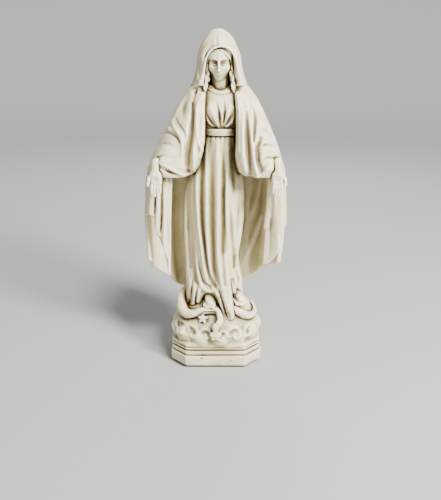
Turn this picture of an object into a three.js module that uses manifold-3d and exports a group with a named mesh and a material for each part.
// A devotional statue of a veiled woman with lowered, open hands. She stands barefoot on a cloud
// mound, with a serpent under her feet, over a moulded eight-sided plinth. The cast pieces are cemented
// together around a steel armature rod, and felt covers the underside.
// Millimetres, +Z up. The figure faces -Y, so her right hand is on the -X side. The origin is the
// centre of the felt's lower face.
import * as THREE from "three";
import { mergeVertices } from "three/addons/utils/BufferGeometryUtils.js";
import Module from "manifold-3d";

const wasm = await Module();
wasm.setup();

// Driving dimensions
const STATUE_TOP = 305; // crown of the veil
const PLINTH_HALF = { x: 43.5, y: 35, chamfer: 15 };
const PLINTH_TOP = 22.5;
const FELT_THICK = 1.2;
const FELT_INSET = 3;
const MOUND_TOP = 66;
const WAIST = { low: 219, high: 224.5 }; // the sash
const NECK_BASE = 250;
const HEAD_CENTRE = new THREE.Vector3(0, -5, 283);
const HEAD_TILT = 0.3; // radians, face downwards
const CUFF = new THREE.Vector3(52, -33, 193); // where the left hand leaves the drapery
const GAP = 0.35; // between pieces that are cemented together
const ROD = { y: -2, radius: 2, clearance: 0.4, low: 6, high: 274 };
const ROD_POCKET = { radius: 8.4, top: 12 }; // the recess under the plinth, round the rod's lower end
const CAPE_THICK = 3.4;
const CASCADE_THICK = 2.2;
const ROUND = 3; // steps in each rounded end
const BEYOND = 400; // longer than the whole statue, for blocks that cut
const MERGE = 1e-4; // points nearer than this are one point
const MANTLE_SEAM = 6; // Y of the seam between the mantle's back and its sides
const DRAPE_LOW = 186.5; // the underside of the cloth over the forearms
const DOWEL = { radius: 0.9, clearance: 0.35, length: 13 };

const SWAY = [ // height, shift in x
  [58, 0], [88, -5], [125, -3], [172, -0.5], [200, 3], [219, 5], [268, 4.2], [STATUE_TOP, 2],
];
const SWAY_REACH = 60; // how far from the middle line the shift reaches

const STONE = { color: 0xe9e1cc, roughness: 0.55, metalness: 0 };
const FELT = { color: 0x3f5a45, roughness: 0.95, metalness: 0 };
const STEEL = { color: 0x9a9c9f, roughness: 0.35, metalness: 1 };

const statue = new THREE.Group();

// Adds one named piece to the statue.
function addPiece(name, solid, look) {
  const mesh = new THREE.Mesh(geometryOf(solid), new THREE.MeshStandardMaterial(look));
  mesh.name = name;
  statue.add(mesh);
}

// Solids and geometries

function solidOf(geometry) {
  const bare = geometry.clone();
  for (const name of Object.keys(bare.attributes)) if (name !== "position") bare.deleteAttribute(name);
  const merged = mergeVertices(bare, MERGE);
  sway(merged.attributes.position);
  const vertProperties = new Float32Array(merged.attributes.position.array);
  const triVerts = new Uint32Array(merged.index.array);
  return new wasm.Manifold(new wasm.Mesh({ numProp: 3, vertProperties, triVerts }));
}

// Shifts points sideways so that the hips go to her right and the chest to her left. The shift is
// greatest on the middle line and fades outwards, so the hands stay level.
function sway(position) {
  for (let i = 0; i < position.count; i++) {
    const [x, z] = [position.getX(i), position.getZ(i)];
    position.setX(i, x + swayAt(z) * Math.exp(-((x / SWAY_REACH) ** 2)));
  }
}

function swayAt(z) {
  if (z <= SWAY[0][0]) return SWAY[0][1];
  const above = SWAY.findIndex(([height]) => height >= z);
  if (above < 0) return SWAY.at(-1)[1];
  const [[z0, x0], [z1, x1]] = [SWAY[above - 1], SWAY[above]];
  return THREE.MathUtils.lerp(x0, x1, THREE.MathUtils.smoothstep(z, z0, z1));
}

// The geometry of a solid's largest closed shell, without the slivers that a cut leaves.
function geometryOf(solid) {
  const { numProp, numVert, vertProperties, triVerts } = solid.getMesh();
  const places = Array.from({ length: numVert }, (_, i) =>
    new THREE.Vector3().fromArray(vertProperties, i * numProp));
  const faces = largestShell(places, triVerts);
  const used = [...new Set(faces)];
  const newIndex = new Map(used.map((old, i) => [old, i]));
  const geometry = new THREE.BufferGeometry().setFromPoints(used.map((i) => places[i]));
  geometry.setIndex(faces.map((i) => newIndex.get(i)));
  geometry.computeVertexNormals();
  return geometry;
}

// The faces of the shell that holds the most, out of all the separate shells in a mesh.
function largestShell(points, faces) {
  const parent = points.map((_, i) => i);
  const rootOf = (start) => {
    let i = start;
    while (parent[i] !== i) i = parent[i];
    parent[start] = i;
    return i;
  };
  const shells = new Map();
  for (let i = 0; i < faces.length; i += 3) {
    parent[rootOf(faces[i + 1])] = rootOf(faces[i]);
    parent[rootOf(faces[i + 2])] = rootOf(faces[i]);
  }
  for (let i = 0; i < faces.length; i += 3) {
    const root = rootOf(faces[i]);
    if (!shells.has(root)) shells.set(root, []);
    shells.get(root).push(faces[i], faces[i + 1], faces[i + 2]);
  }
  return [...shells.values()].reduce((a, b) => (sixVolumes(points, b) > sixVolumes(points, a) ? b : a));
}

// Six times the volume inside a closed skin, negative where the skin is inside out.
function sixVolumes(points, faces) {
  let total = 0;
  for (let i = 0; i < faces.length; i += 3) {
    const [a, b, c] = [points[faces[i]], points[faces[i + 1]], points[faces[i + 2]]];
    total += a.dot(b.clone().cross(c));
  }
  return total;
}

const join = (...solids) => solids.reduce((whole, solid) => whole.add(solid));
const cut = (solid, ...tools) => tools.reduce((left, tool) => left.subtract(tool), solid);

// A closed skin over rings of points. Each ring runs anticlockwise seen from above, lowest ring first.
function loft(rings) {
  const count = rings[0].length;
  const points = rings.flat();
  const faces = [];
  for (let k = 0; k < rings.length - 1; k++) {
    for (let i = 0; i < count; i++) {
      const [a, b] = [k * count + i, k * count + ((i + 1) % count)];
      faces.push(a, b, b + count, a, b + count, a + count);
    }
  }
  capFaces(points, 0, count, false, faces);
  capFaces(points, points.length - count, count, true, faces);
  return solidOf(new THREE.BufferGeometry().setFromPoints(points).setIndex(faces));
}

// Closes one ring, facing up or down, whatever its outline.
function capFaces(points, start, count, up, faces) {
  const outline = points.slice(start, start + count).map((p) => new THREE.Vector2(p.x, p.y));
  for (const [a, b, c] of THREE.ShapeUtils.triangulateShape(outline, [])) {
    const left = outline[b].clone().sub(outline[a]).cross(outline[c].clone().sub(outline[a])) > 0;
    const face = left === up ? [a, b, c] : [a, c, b];
    faces.push(...face.map((i) => i + start));
  }
}

// Rows of control points become a finer grid: smooth along each row and from row to row.
function smoothGrid(rows, { across, along, closed }) {
  const columns = rows.map((row) => new THREE.CatmullRomCurve3(row, closed, "centripetal").getPoints(across));
  if (closed) columns.forEach((ring) => ring.pop());
  const strands = columns[0].map((_, i) => new THREE.CatmullRomCurve3(columns.map((ring) => ring[i])));
  return Array.from({ length: along + 1 }, (_, k) => strands.map((strand) => strand.getPoint(k / along)));
}

// An oval ring. power 2 is an ellipse, and more is squarer.
function oval(z, halfX, halfY, centreY, { sides = 28, power = 2 } = {}) {
  return Array.from({ length: sides }, (_, i) => {
    const angle = (2 * Math.PI * i) / sides;
    const [c, s] = [Math.cos(angle), Math.sin(angle)];
    const reach = (Math.abs(c) ** power + Math.abs(s) ** power) ** (-1 / power);
    return new THREE.Vector3(halfX * reach * c, centreY + halfY * reach * s, z);
  });
}

// The ring of an eight-sided plate.
function eightSided(z, inset) {
  const { x, y, chamfer } = PLINTH_HALF;
  const [w, d, c] = [x - inset, y - inset, chamfer - inset * (2 - Math.SQRT2)];
  const corners = [
    [w, c - d], [w, d - c], [w - c, d], [c - w, d], [-w, d - c], [-w, c - d], [c - w, -d], [w - c, -d],
  ];
  return corners.map(([px, py]) => new THREE.Vector3(px, py, z));
}

// A rod with round ends from a to b, with its own radius at each end.
function roundRod(a, b, radiusA, radiusB = radiusA, sides = 10) {
  const length = a.distanceTo(b);
  const profile = [];
  for (let i = 0; i <= ROUND; i++) {
    const angle = -Math.PI / 2 + (Math.PI / 2) * (i / ROUND);
    profile.push(new THREE.Vector2(radiusA * Math.cos(angle), radiusA * Math.sin(angle)));
  }
  for (let i = 0; i <= ROUND; i++) {
    const angle = (Math.PI / 2) * (i / ROUND);
    profile.push(new THREE.Vector2(radiusB * Math.cos(angle), length + radiusB * Math.sin(angle)));
  }
  profile[0].x = profile.at(-1).x = 0;
  return solidOf(placedAlong(new THREE.LatheGeometry(profile, sides), a, b));
}

// A flat-ended rod from a to b.
function plainRod(a, b, radius, sides = 8) {
  const length = a.distanceTo(b);
  const segments = Math.ceil(length / 12);
  const rod = new THREE.CylinderGeometry(radius, radius, length, sides, segments);
  rod.translate(0, length / 2, 0);
  return solidOf(placedAlong(rod, a, b));
}

// Turns a geometry that stands on its own Y axis so that it runs from a towards b.
function placedAlong(geometry, a, b) {
  const turn = new THREE.Quaternion().setFromUnitVectors(
    new THREE.Vector3(0, 1, 0),
    b.clone().sub(a).normalize(),
  );
  return geometry.applyQuaternion(turn).translate(a.x, a.y, a.z);
}

function ellipsoid(centre, half, tilt = 0, sides = 14) {
  const ball = new THREE.SphereGeometry(1, sides, Math.round(sides * 0.7)).scale(half.x, half.y, half.z);
  return solidOf(ball.rotateX(tilt).translate(centre.x, centre.y, centre.z));
}

// A tube through rows of x, y, z and radius.
function taperedTube(rows, extra = 0, steps = 2 * rows.length, sides = 8) {
  const path = new THREE.CatmullRomCurve3(rows.map(([x, y, z]) => at(x, y, z)));
  const girth = new THREE.CatmullRomCurve3(rows.map(([, , , radius], i) => at(i, radius, 0)));
  const frames = path.computeFrenetFrames(steps);
  const rings = Array.from({ length: steps + 1 }, (_, k) => {
    const t = path.getUtoTmapping(k / steps);
    const centre = path.getPoint(t);
    const radius = girth.getPoint(t).y + extra;
    return Array.from({ length: sides }, (_, i) => {
      const angle = (2 * Math.PI * i) / sides;
      return centre.clone()
        .addScaledVector(frames.normals[k], radius * Math.cos(angle))
        .addScaledVector(frames.binormals[k], radius * Math.sin(angle));
    });
  });
  return closedTube(rings);
}

// A closed skin over rings that may face any way, each end closed round its middle.
function closedTube(rings) {
  const sides = rings[0].length;
  const points = rings.flat();
  const faces = [];
  const middle = (ring) => ring.reduce((sum, p) => sum.add(p), at(0, 0, 0)).divideScalar(sides);
  points.push(middle(rings[0]), middle(rings.at(-1)));
  const [first, last, top] = [points.length - 2, points.length - 1, (rings.length - 1) * sides];
  for (let i = 0; i < sides; i++) {
    const j = (i + 1) % sides;
    for (let k = 0; k < rings.length - 1; k++) {
      const [a, b] = [k * sides + i, k * sides + j];
      faces.push(a, b, b + sides, a, b + sides, a + sides);
    }
    faces.push(first, j, i, last, top + i, top + j);
  }
  return outwardSolid(points, faces);
}

// A closed skin over a grid of points and the same grid moved by half the thickness to each side.
// normals has one unit vector for each point. The four edges are closed by strips.
function sheetSolid(grid, normals, thick) {
  const [levels, columns] = [grid.length, grid[0].length];
  const face = (share) => grid.flatMap((row, k) =>
    row.map((p, i) => p.clone().addScaledVector(normals[k][i], share)));
  const points = [...face(thick / 2), ...face(-thick / 2)];
  const faces = [];
  const index = (side, k, i) => side * levels * columns + k * columns + i;
  const quad = (a, b, c, d) => faces.push(a, b, c, a, c, d);
  for (let k = 0; k < levels - 1; k++) {
    for (let i = 0; i < columns - 1; i++) {
      quad(index(0, k, i), index(0, k, i + 1), index(0, k + 1, i + 1), index(0, k + 1, i));
      quad(index(1, k, i), index(1, k + 1, i), index(1, k + 1, i + 1), index(1, k, i + 1));
    }
    quad(index(0, k, 0), index(0, k + 1, 0), index(1, k + 1, 0), index(1, k, 0));
    const end = columns - 1;
    quad(index(0, k, end), index(1, k, end), index(1, k + 1, end), index(0, k + 1, end));
  }
  for (let i = 0; i < columns - 1; i++) {
    const top = levels - 1;
    quad(index(0, 0, i), index(1, 0, i), index(1, 0, i + 1), index(0, 0, i + 1));
    quad(index(0, top, i), index(0, top, i + 1), index(1, top, i + 1), index(1, top, i));
  }
  return outwardSolid(points, faces);
}

// A solid from a closed skin, turned right side out if its faces point inwards.
function outwardSolid(points, faces) {
  const turned = sixVolumes(points, faces) > 0 ? faces : [...faces].reverse();
  return solidOf(new THREE.BufferGeometry().setFromPoints(points).setIndex(turned));
}

// A sheet that hangs from the line top(u) to the line foot(u), both given as rows of [x, y, z].
function hangingSheet(topRow, footRow, thick, { levels, steps, bulge = 0 }) {
  const curve = (row) =>
    new THREE.CatmullRomCurve3(row.map((p) => at(...p)), false, "centripetal").getPoints(steps);
  const [top, foot] = [curve(topRow), curve(footRow)];
  const grid = Array.from({ length: levels + 1 }, (_, k) =>
    top.map((p, i) => p.clone().lerp(foot[i], k / levels)));
  const normals = grid.map((row) => row.map((_, i) => {
    const along = row[Math.min(i + 1, steps)].clone().sub(row[Math.max(i - 1, 0)]).setZ(0).normalize();
    return at(-along.y, along.x, 0);
  }));
  grid.forEach((row, k) => row.forEach((p, i) =>
    p.addScaledVector(normals[k][i], bulge * Math.sin((Math.PI * k) / levels))));
  return sheetSolid(grid, normals, thick);
}

const mirrored = (p) => new THREE.Vector3(-p.x, p.y, p.z);
const at = (x, y, z) => new THREE.Vector3(x, y, z);

// The bore that the armature rod runs through, or any wider one.
function rodBore(low, high, radius = ROD.radius + ROD.clearance) {
  return plainRod(at(0, ROD.y, low), at(0, ROD.y, high), radius);
}

// A block that takes in everything behind the plane at y, or everything in front of it.
function blockPast(y, behind) {
  const block = new THREE.BoxGeometry(BEYOND, BEYOND, 2 * BEYOND);
  return solidOf(block.translate(0, y + (behind ? BEYOND / 2 : -BEYOND / 2), 0));
}

// A block that takes in everything on the other side of the middle line.
function otherSide(side) {
  return solidOf(new THREE.BoxGeometry(BEYOND, BEYOND, 2 * BEYOND).translate((-side * BEYOND) / 2, 0, 0));
}

// Base

function feltPad() {
  return loft([eightSided(0, FELT_INSET), eightSided(FELT_THICK, FELT_INSET)]);
}

// The moulding: a heavy rounded foot, a groove, a plain band, a deeper groove and a bead under the mound.
function plinth() {
  const foot = FELT_THICK + GAP;
  const profile = [
    [foot, 2.6], [foot + 1.2, 1.0], [foot + 3.4, 0.1], [12.6, 0], [13.2, 0.5], [13.5, 1.5], [14, 1.5],
    [14.3, 0.9], [18, 1.1], [18.6, 2.6], [19.3, 2.6], [19.7, 1.5], [20.8, 1.1], [21.8, 1.6], [PLINTH_TOP, 3],
  ];
  const block = loft(profile.map(([z, inset]) => eightSided(z, inset)));
  return cut(block, rodBore(0, 30), rodBore(0, ROD_POCKET.top, ROD_POCKET.radius));
}

function mound(extra = 0) {
  const rows = [
    [PLINTH_TOP + GAP, 40, 32], [30, 41.5, 33.5], [38, 40.5, 33], [45, 37.5, 32], [52, 33.5, 30],
    [58, 28.5, 26.5], [63, 21, 20.5], [MOUND_TOP - 0.8, 14, 13.5], [MOUND_TOP, 7, 7],
  ].map(([z, halfX, halfY]) => oval(z + extra, halfX + extra, halfY + extra, 0, { power: 2.4, sides: 30 }));
  if (extra) rows[0].forEach((p) => (p.z -= 2 * extra));
  return loft(rows);
}

// Rounded cloud scrolls around the foot of the mound, largest at the front.
function cloudBank(extra = 0) {
  const lumps = [
    [-31, -25, 33, 9], [-14, -31, 30, 9], [4, -32, 30, 9], [21, -29, 32, 9], [34, -20, 33, 9],
    [-38, -9, 34, 9], [39, -3, 34, 9], [-37, 9, 33, 9], [34, 15, 33, 9], [-26, 23, 33, 9],
    [-9, 28, 32, 9], [9, 28, 33, 9], [24, 23, 32, 9],
  ];
  return lumps.map(([x, y, z, r]) => ellipsoid(
    at(x * 0.93, y * 0.93, z), at(r + extra, r * 0.8 + extra, r * 0.95 + extra), 0, 8,
  ));
}

// The serpent: a thick coil sweeps round the left of the mound and thins as it passes under the toes.
const SERPENT_BODY = [ // x, y, z and radius
  [-20, 12, 67, 2.5], [-29, 4, 67, 3.6], [-33, -6, 62, 4.6], [-32, -16, 56, 5.3], [-27, -22.5, 52.5, 5.5],
  [-19.5, -25.5, 53.5, 5], [-12, -27, 56, 4.2], [-4, -27.5, 56.5, 3.4], [2.5, -30, 56, 3],
  [4.5, -33, 52.5, 2.7], [3, -35.5, 48.5, 2.7], [0.5, -36.6, 46, 3.2], [-0.8, -37.2, 43, 2],
];
const SERPENT_TAIL = [
  [13, -26, 62, 2.2], [19, -26.5, 58, 3], [25, -25, 53.5, 3.6], [31, -20, 49.5, 3.4], [36, -12, 47.5, 2.8],
  [38, -2, 49, 1.8], [35, 6, 53, 1],
];

const STAR = { centre: at(-12, -30.8, 51.5), radius: 4.8, turn: -0.3 };
const ROSE = at(0, -38.2, 37);

// A five-pointed star, 7 mm thick, leaning back against the mound.
function star(centre, radius, turn) {
  const shape = new THREE.Shape();
  for (let i = 0; i < 10; i++) {
    const reach = i % 2 ? radius * 0.45 : radius;
    const angle = (Math.PI * i) / 5 + Math.PI / 2;
    shape[i ? "lineTo" : "moveTo"](reach * Math.cos(angle), reach * Math.sin(angle));
  }
  const plate = new THREE.ExtrudeGeometry(shape, { depth: 7, bevelEnabled: false }).translate(0, 0, -5.6);
  return solidOf(plate.rotateX(Math.PI / 2 - 0.25).rotateZ(turn).translate(centre.x, centre.y, centre.z));
}

// A small open rose: a round heart with five petals.
function rose(centre) {
  const petals = Array.from({ length: 5 }, (_, i) => {
    const angle = (2 * Math.PI * i) / 5 + 0.3;
    const place = at(centre.x + 2.9 * Math.cos(angle), centre.y, centre.z + 2.9 * Math.sin(angle));
    return ellipsoid(place, at(2.3, 1.6, 2.3), 0, 7);
  });
  return join(ellipsoid(centre, at(2, 2.4, 2), 0, 7), ...petals);
}

// Feet

// A bare foot from its instep to its toes. turn points it left or right of straight ahead.
function foot(instep, turn, extra = 0) {
  const ahead = at(Math.sin(turn), -Math.cos(turn), 0);
  const side = at(Math.cos(turn), Math.sin(turn), 0);
  const point = (forward, sideways, up) =>
    instep.clone().addScaledVector(ahead, forward).addScaledVector(side, sideways).add(at(0, 0, up));
  const sole = roundRod(point(-3, 0, 0), point(9, 0, -6), 6 + extra, 4.6 + extra);
  const toes = [-4.4, -2.2, 0, 2.1, 4].map((across, i) => {
    const reach = 14.2 - Math.abs(i - 1) * 0.9;
    return roundRod(point(8, across * 0.8, -6.6), point(reach, across, -9.2), 1.6 + extra, 1.35 + extra, 6);
  });
  return join(sole, ...toes);
}

// Gown

const SKIRT_ROWS = [ // height, half width, half depth, centre Y
  [50, 24, 22.5, -1], [70, 22.5, 22, -1.5], [88, 22, 21.5, -2], [105, 24.5, 21, -2.5],
  [125, 26.5, 20.5, -2.5], [147, 27.3, 20, -2.5], [172, 26.3, 18.5, -2.5], [196, 19.5, 16, -2.5],
  [WAIST.low - GAP, 15, 13, -2.5],
];
const FEET = [
  { name: "right_foot", instep: at(-4, -16, 71), turn: -0.05 },
  { name: "left_foot", instep: at(20, -9.5, 71), turn: 0.5 },
];

const HEM = { low: SKIRT_ROWS[0][0], lift: 28, reach: 9 }; // reach: how far from a foot it lifts

function skirt(extra = 0) {
  const rings = SKIRT_ROWS.map(([z, halfX, halfY, y], row) => {
    const ring = oval(z, halfX + extra, halfY + extra, y, { sides: 32 });
    return row > 1 ? ring : ring.map((p) => at(p.x, p.y, Math.max(z, row === 0 ? hemHeight(p) : 0)));
  });
  rings[1].forEach((p, i) => (p.z = Math.max(p.z, rings[0][i].z + 4)));
  return loft(rings);
}

// The hem lifts over each foot and reaches the mound elsewhere.
function hemHeight(p) {
  const lift = FEET.map(({ instep }) => {
    const away = Math.hypot(p.x - instep.x * 1.1, Math.max(p.y + 18, 0) * 0.8) / HEM.reach;
    return HEM.lift * Math.exp(-(away ** 2));
  });
  return HEM.low + Math.max(...lift);
}

// The one long fold that runs off the skirt and down the front of the mound.
function longFold(extra = 0) {
  return roundRod(at(9, -19, 110), at(15, -29.5, 52), 5 + extra, 3.2 + extra, 12);
}

function bodice(extra = 0) {
  const rows = [
    [WAIST.high + GAP, 15, 12.5, -2.5], [231, 18.5, 14, -2.5], [240, 20.5, 15, -2], [248, 21, 14, -1],
    [254, 19.5, 12, 0], [258.5, 15, 9.5, 0], [261, 11, 8, 0],
  ];
  const rings = rows.map(([z, x, y, centre]) => oval(z, x + extra, y + extra, centre));
  if (extra) {
    rings[0].forEach((p) => (p.z -= extra));
    rings.at(-1).forEach((p) => (p.z += extra));
  }
  return loft(rings);
}

function sash(extra = 0) {
  const { low, high } = WAIST;
  return loft(
    [[low - extra, 15.2], [low + 0.8, 16], [high - 0.8, 16], [high + extra, 15.2]].map(([z, x]) =>
      oval(z, x + extra, x - 2 + extra, -2.5),
    ),
  );
}

// Head

function head(extra = 0) {
  const skull = ellipsoid(HEAD_CENTRE, at(11.2 + extra, 13.5 + extra, 15.2 + extra), HEAD_TILT, 16);
  const jaw = ellipsoid(
    HEAD_CENTRE.clone().add(at(0, -6.2, -7)), at(7.6 + extra, 7.4 + extra, 8.8 + extra), HEAD_TILT, 14,
  );
  return join(skull, jaw, neck(extra));
}

function neck(extra = 0) {
  return roundRod(at(0, -1.5, NECK_BASE), at(0, -4, 272), 7.6 + extra, 7 + extra, 14);
}

// The hair under the veil: a cap that shows as a band round the forehead, and a lock on each side.
function hair(extra = 0) {
  const cap = ellipsoid(
    HEAD_CENTRE.clone().add(at(0, 1.4, 1.2)), at(12.9 + extra, 14.2 + extra, 15.4 + extra), HEAD_TILT, 16,
  );
  const locks = [-1, 1].map((side) => roundRod(
    at(side * 11, -9.5, 284), at(side * 11.4, -10, 266), 3.2 + extra, 2.9 + extra,
  ));
  return join(cap, ...locks);
}

// An upright oval in front of the hair, which leaves the face open.
function faceOpening() {
  return ellipsoid(HEAD_CENTRE.clone().add(at(0, -13, -4.5)), at(9, 12, 14.5), HEAD_TILT, 12);
}

// The veil's rings: an outline that runs round the back, and a notch in front for the face.
// Half of each row is listed, from the notch's middle to the back's middle, as [x, y] with its height.
const VEIL_ROWS = [
  { front: 257, back: 238, half: [[0, 2], [9, 0], [13.5, -9], [16, -15], [21, -13],
    [27, -4], [30, 6], [21, 18], [0, 25]] },
  { front: 262, back: 250, half: [[0, 2], [9, 0], [12, -9], [14.5, -15], [19, -13],
    [24, -4], [26.5, 5], [19, 17], [0, 23]] },
  { front: 268, back: 262, half: [[0, 2], [9, 0], [11.6, -10], [14, -15.5], [17.5, -13],
    [20.5, -4], [22, 4], [16, 15], [0, 21]] },
  { front: 276, back: 272, half: [[0, 0], [9.5, -2], [11.8, -11], [13.4, -16], [16.2, -13],
    [18.6, -4], [19.4, 4], [14, 14], [0, 19.5]] },
  { front: 284, back: 283, half: [[0, -4], [9, -6], [11.6, -12], [12.6, -17], [15.2, -13.5],
    [17.4, -5], [17.8, 3], [13, 13], [0, 18]] },
  { front: 291, back: 291, half: [[0, -17.6], [4, -17.4], [7.5, -16.6], [10.5, -15], [13, -12],
    [15, -5], [15.2, 2], [11, 11.5], [0, 16]] },
  { front: 297, back: 297, half: [[0, -16], [3, -15.8], [6, -15], [8.6, -13], [10.4, -10],
    [12, -4], [11.8, 2], [8.6, 9], [0, 12.5]] },
  { front: 301.5, back: 301.5, half: [[0, -12], [2, -11.8], [4, -11], [5.8, -9.6], [7, -7.4],
    [8, -3.4], [7.8, 1], [5.6, 5.6], [0, 8]] },
  { front: STATUE_TOP, back: STATUE_TOP, half: [[0, -6.5], [1, -6.4], [2, -6], [3, -5.2], [3.6, -4.2],
    [4, -2.4], [3.8, -0.6], [2.6, 1.6], [0, 2.6]] },
];

// A whole anticlockwise ring from half of one: the left half's mirror image follows the right half.
function wholeRing({ front, back, half }, extra) {
  const deepest = Math.max(...half.map(([, y]) => y));
  const nearest = Math.min(...half.map(([, y]) => y));
  const points = half.map(([x, y]) => {
    const share = (y - nearest) / (deepest - nearest);
    const away = Math.hypot(x, y) || 1;
    return at(x * (1 + extra / away), y * (1 + extra / away), front + (back - front) * share);
  });
  return [...points, ...points.slice(1, -1).reverse().map(mirrored)];
}

const VEIL_GRID = { across: 36, along: 10, closed: true };

function veil() {
  const grid = smoothGrid(VEIL_ROWS.map((row) => wholeRing(row, 0)), VEIL_GRID);
  const rings = grid.map((ring) => ring.map((p) => at(p.x, p.y, Math.min(p.z, STATUE_TOP))));
  return loft(rings);
}

// The veil with its notch filled, a little larger, to cut the mantle that lies under it.
function veilCutter() {
  const rows = VEIL_ROWS.map((row) => {
    const half = row.half.map(([x, y], i) => (i < 3 ? [x * 0.9, Math.min(y, row.half[3][1]) - 0.3] : [x, y]));
    return wholeRing({ ...row, half }, 2 * GAP);
  });
  const grid = smoothGrid(rows, VEIL_GRID);
  grid[0].forEach((p) => (p.z -= GAP));
  return loft(grid);
}

// Mantle

// Half rings from the middle of the front notch to the middle of the back. Above the hems they are
// thick, with the arms inside. Below them only a sheet hangs from the wrists round the back.
const DRAPE_ROWS = [
  { z: DRAPE_LOW, half: [[0, -8], [17, -9], [23, -24], [28, -34], [34, -36.5], [42, -36], [51, -34],
    [58, -25], [60, -12], [54, 6], [34, 23], [0, 31]] },
  { z: 195, half: [[0, -8], [13, -9], [17, -22], [20, -32], [27, -36], [38, -37], [50, -36],
    [57, -26], [58, -12], [52, 5], [33, 22], [0, 30]] },
  { z: 206, half: [[0, -8], [13, -9], [14.5, -20], [15, -29], [21, -32.5], [33, -33], [45, -31],
    [52, -22], [54, -9], [48, 6], [31, 21], [0, 28.5]] },
  { z: 220, half: [[0, -8], [13, -8], [14, -18], [14.5, -24.5], [20, -27.5], [29, -27], [39, -23],
    [46, -14], [48, -3], [43, 8], [28, 20], [0, 27]] },
  { z: 235, half: [[0, -8], [13, -8], [13.5, -17], [14, -21], [19, -23.5], [26, -21], [34, -15],
    [39.5, -7], [41, 1], [36, 10], [24, 19], [0, 25.5]] },
  { z: 248, half: [[0, -6], [12, -7], [13, -14], [13.5, -18], [18, -18.5], [23, -15], [29, -9],
    [33, -3], [34, 3], [29, 11], [20, 18], [0, 23.5]] },
  { z: 257, half: [[0, -2], [10, -3], [12, -9], [12.5, -12], [16, -12], [20, -10], [24.5, -6],
    [27.5, -1], [27.5, 4], [23, 11], [16, 16.5], [0, 21]] },
  { z: 262, half: [[0, 0], [8, -1], [9, -4.5], [10, -7], [12.5, -7.5], [15, -6.5], [17.5, -4],
    [19, 0], [19, 4], [16, 9.5], [11, 14], [0, 18]] },
];

// The back panel of the mantle, from under one wrist round the back to the other: her left half.
const CAPE_TOP = [[58.5, -20], [58, -9], [52, 7], [36, 20.5], [18, 27.5], [0, 29.5]]
  .map(([x, y]) => [x, y, DRAPE_LOW + 3]);
const CAPE_BACK = [0, 27.5, 57];
const CAPE_HEM = { // the foot of the panel on each side of CAPE_BACK, from the front edge
  right: [[60, -17, 104], [56, -4, 94], [46, 9, 78], [34, 19, 65], [18, 25, 58.5]],
  left: [[60, -17, 102], [56, -4, 96], [44, 10, 84], [31, 18.5, 72], [17, 25, 62]],
};

function cape(extra = 0) {
  const mirror = ([x, y, z]) => [-x, y, z];
  const longer = ([[x, y, z], ...rest]) => [[x, y - 2 * extra, z], ...rest];
  const [half, left, right] = [CAPE_TOP, CAPE_HEM.left, CAPE_HEM.right].map(longer);
  const top = [...half, ...half.slice(0, -1).reverse().map(mirror)].map(([x, y, z]) => [x, y, z + 2 * extra]);
  const foot = [...left, CAPE_BACK, ...[...right].reverse().map(mirror)];
  const grid = { levels: 6, steps: 24, bulge: -2.5 };
  return hangingSheet(top, foot, CAPE_THICK + 2 * extra, grid);
}

// The pleats that cascade from a wrist, from the outside inwards: each hangs lower than the one before.
// top is [x, y] and foot is [x, y, z].
const PLEATS = {
  right: {
    top: [[60, -23.5], [55, -30], [52, -26], [49, -29.5], [46.5, -25.5], [43.5, -28], [41, -24],
      [38.5, -24.5]],
    foot: [[62, -22.5, 150], [56, -30, 152], [52.5, -25, 146], [51, -29.5, 136], [48, -24.5, 128],
      [44.5, -27, 117], [41.5, -22.5, 104], [39.5, -23.5, 91]],
  },
  left: {
    top: [[60, -23.5], [56.5, -30], [54, -26], [51.5, -29.5], [49, -25], [46.5, -26]],
    foot: [[64, -22.5, 141], [59, -29, 136], [56.5, -25, 130], [59, -29.5, 122], [51, -24, 105],
      [46.5, -22, 103]],
  },
};

function cascade(name, side) {
  const { top, foot } = PLEATS[name];
  const topRow = top.map(([x, y]) => [side * x, y, DRAPE_LOW - GAP]);
  const footRow = foot.map(([x, y, z]) => [side * x, y, z]);
  return hangingSheet(topRow, footRow, CASCADE_THICK, { levels: 4, steps: 24 });
}

// Mantle over the arms and shoulders

function drape() {
  const rows = DRAPE_ROWS.map(({ z, half }) => wholeRing({ front: z, back: z, half }, 0));
  const whole = loft(smoothGrid(rows, { across: 44, along: 8, closed: true }));
  return cut(whole, underarm(-1), underarm(1));
}

// The hollow under each forearm, open below.
function underarm(side) {
  return ellipsoid(at(side * 37, -7, DRAPE_LOW), at(14, 19, 18), 0, 14);
}

// Hands

// One open hand, palm forward and fingers down. side is -1 for her right and 1 for her left.
function hand(side, extra = 0) {
  const point = (x, y, z) => at(side * (CUFF.x + x), CUFF.y + y, CUFF.z + z);
  const wrist = roundRod(point(0, 1, 2), point(0.5, -2, -3), 3.9 + extra, 4.2 + extra);
  const palm = join(
    roundRod(point(-2.2, -1.8, -4), point(-2.8, -4, -10.5), 3 + extra, 2.6 + extra, 10),
    roundRod(point(1.8, -1.8, -4), point(2.4, -4, -10.5), 3 + extra, 2.6 + extra, 10),
  );
  const fingers = [[-4.2, -17.2], [-1.7, -20.6], [0.9, -21.4], [3.3, -18.6]].map(([x, low]) =>
    roundRod(point(x * 0.85, -4, -10), point(x, -7.4, low), 1.55 + extra, 1.2 + extra, 6),
  );
  const thumb = roundRod(point(4, -2.5, -4.5), point(7.6, -5.6, -12.4), 1.9 + extra, 1.35 + extra, 6);
  return join(wrist, palm, ...fingers, thumb);
}

// The wire peg that holds a hand in its cuff.
function dowel(side, extra = 0) {
  const start = at(side * CUFF.x, CUFF.y - 0.8, CUFF.z - 2);
  const end = at(side * (CUFF.x - 2.5), CUFF.y + 7, CUFF.z + 8.5);
  const along = end.clone().sub(start).setLength(DOWEL.length + extra);
  const low = start.clone().addScaledVector(along, -extra / DOWEL.length);
  return plainRod(low, start.clone().add(along), DOWEL.radius + extra, 12);
}

// Assembly

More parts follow.
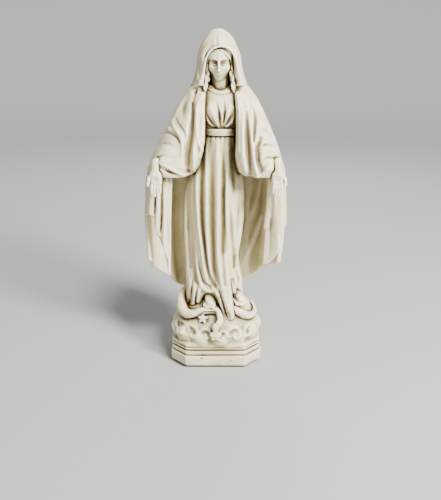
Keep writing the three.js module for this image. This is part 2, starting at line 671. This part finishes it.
const grownMound = mound(GAP);
const serpentCutter = join(taperedTube(SERPENT_BODY, GAP), taperedTube(SERPENT_TAIL, GAP));
const feet = FEET.map(({ name, instep, turn }) => ({
  name,
  solid: cut(foot(instep, turn), grownMound),
  cutter: foot(instep, turn, GAP),
}));
const footCutters = feet.map(({ cutter }) => cutter);
const cloudMound = join(mound(), ...cloudBank());
const grownCloud = join(grownMound, ...cloudBank(GAP), serpentCutter);
const skirtBody = join(skirt(), longFold());
const skirtCutter = join(skirt(GAP), longFold(GAP));
const bodyCutters = [skirtCutter, bodice(GAP), sash(GAP), neck(GAP)];
const CLEAR_OF_CLOUD = -9; // inset of a block that is wider than the lowest scrolls
const belowMound = loft([eightSided(0, CLEAR_OF_CLOUD), eightSided(PLINTH_TOP + GAP, CLEAR_OF_CLOUD)]);
const moundBody = cut(cloudMound, belowMound, rodBore(0, 90), serpentCutter, skirtCutter, ...footCutters);

addPiece("felt_pad", feltPad(), FELT);
addPiece("plinth", plinth(), STONE);
addPiece("mound", moundBody, STONE);
addPiece("serpent_coil", cut(taperedTube(SERPENT_BODY), skirtCutter, ...footCutters), STONE);
addPiece("serpent_tail", cut(taperedTube(SERPENT_TAIL), skirtCutter, ...footCutters), STONE);
for (const { name, solid } of feet) addPiece(name, solid, STONE);
addPiece("gown_skirt", cut(skirtBody, grownMound, rodBore(0, 230), ...footCutters), STONE);
addPiece("sash", cut(sash(), rodBore(200, 240)), STONE);
addPiece("gown_bodice", cut(bodice(), neck(GAP), rodBore(200, 270), sash(GAP)), STONE);
addPiece("head", cut(head(), rodBore(200, ROD.high + 1)), STONE);
addPiece("hair", cut(hair(), head(GAP), faceOpening()), STONE);
addPiece("veil", cut(veil(), head(GAP), hair(GAP), bodice(GAP)), STONE);
const shroud = cut(drape(), veilCutter(), hair(GAP), hand(-1, GAP), hand(1, GAP), ...bodyCutters);
const backOfMantle = join(cut(shroud, blockPast(MANTLE_SEAM, false)), cut(cape(), skirtCutter, grownMound));
addPiece("mantle_back", backOfMantle, STONE);
for (const [name, side] of [["right", -1], ["left", 1]]) {
  const overArm = cut(shroud, blockPast(MANTLE_SEAM - GAP, true), otherSide(side), cape(GAP));
  addPiece(`mantle_${name}_arm`, cut(overArm, dowel(side, DOWEL.clearance)), STONE);
  addPiece(`${name}_cascade`, cut(cascade(name, side), hand(side, GAP), cape(GAP)), STONE);
  addPiece(`${name}_hand`, cut(hand(side), dowel(side, DOWEL.clearance)), STONE);
  addPiece(`${name}_hand_peg`, dowel(side), STEEL);
}
addPiece("armature_rod", plainRod(at(0, ROD.y, ROD.low), at(0, ROD.y, ROD.high), ROD.radius), STEEL);
addPiece("star", cut(star(STAR.centre, STAR.radius, STAR.turn), grownCloud), STONE);
addPiece("rose", cut(rose(ROSE), grownCloud), STONE);

export default statue;
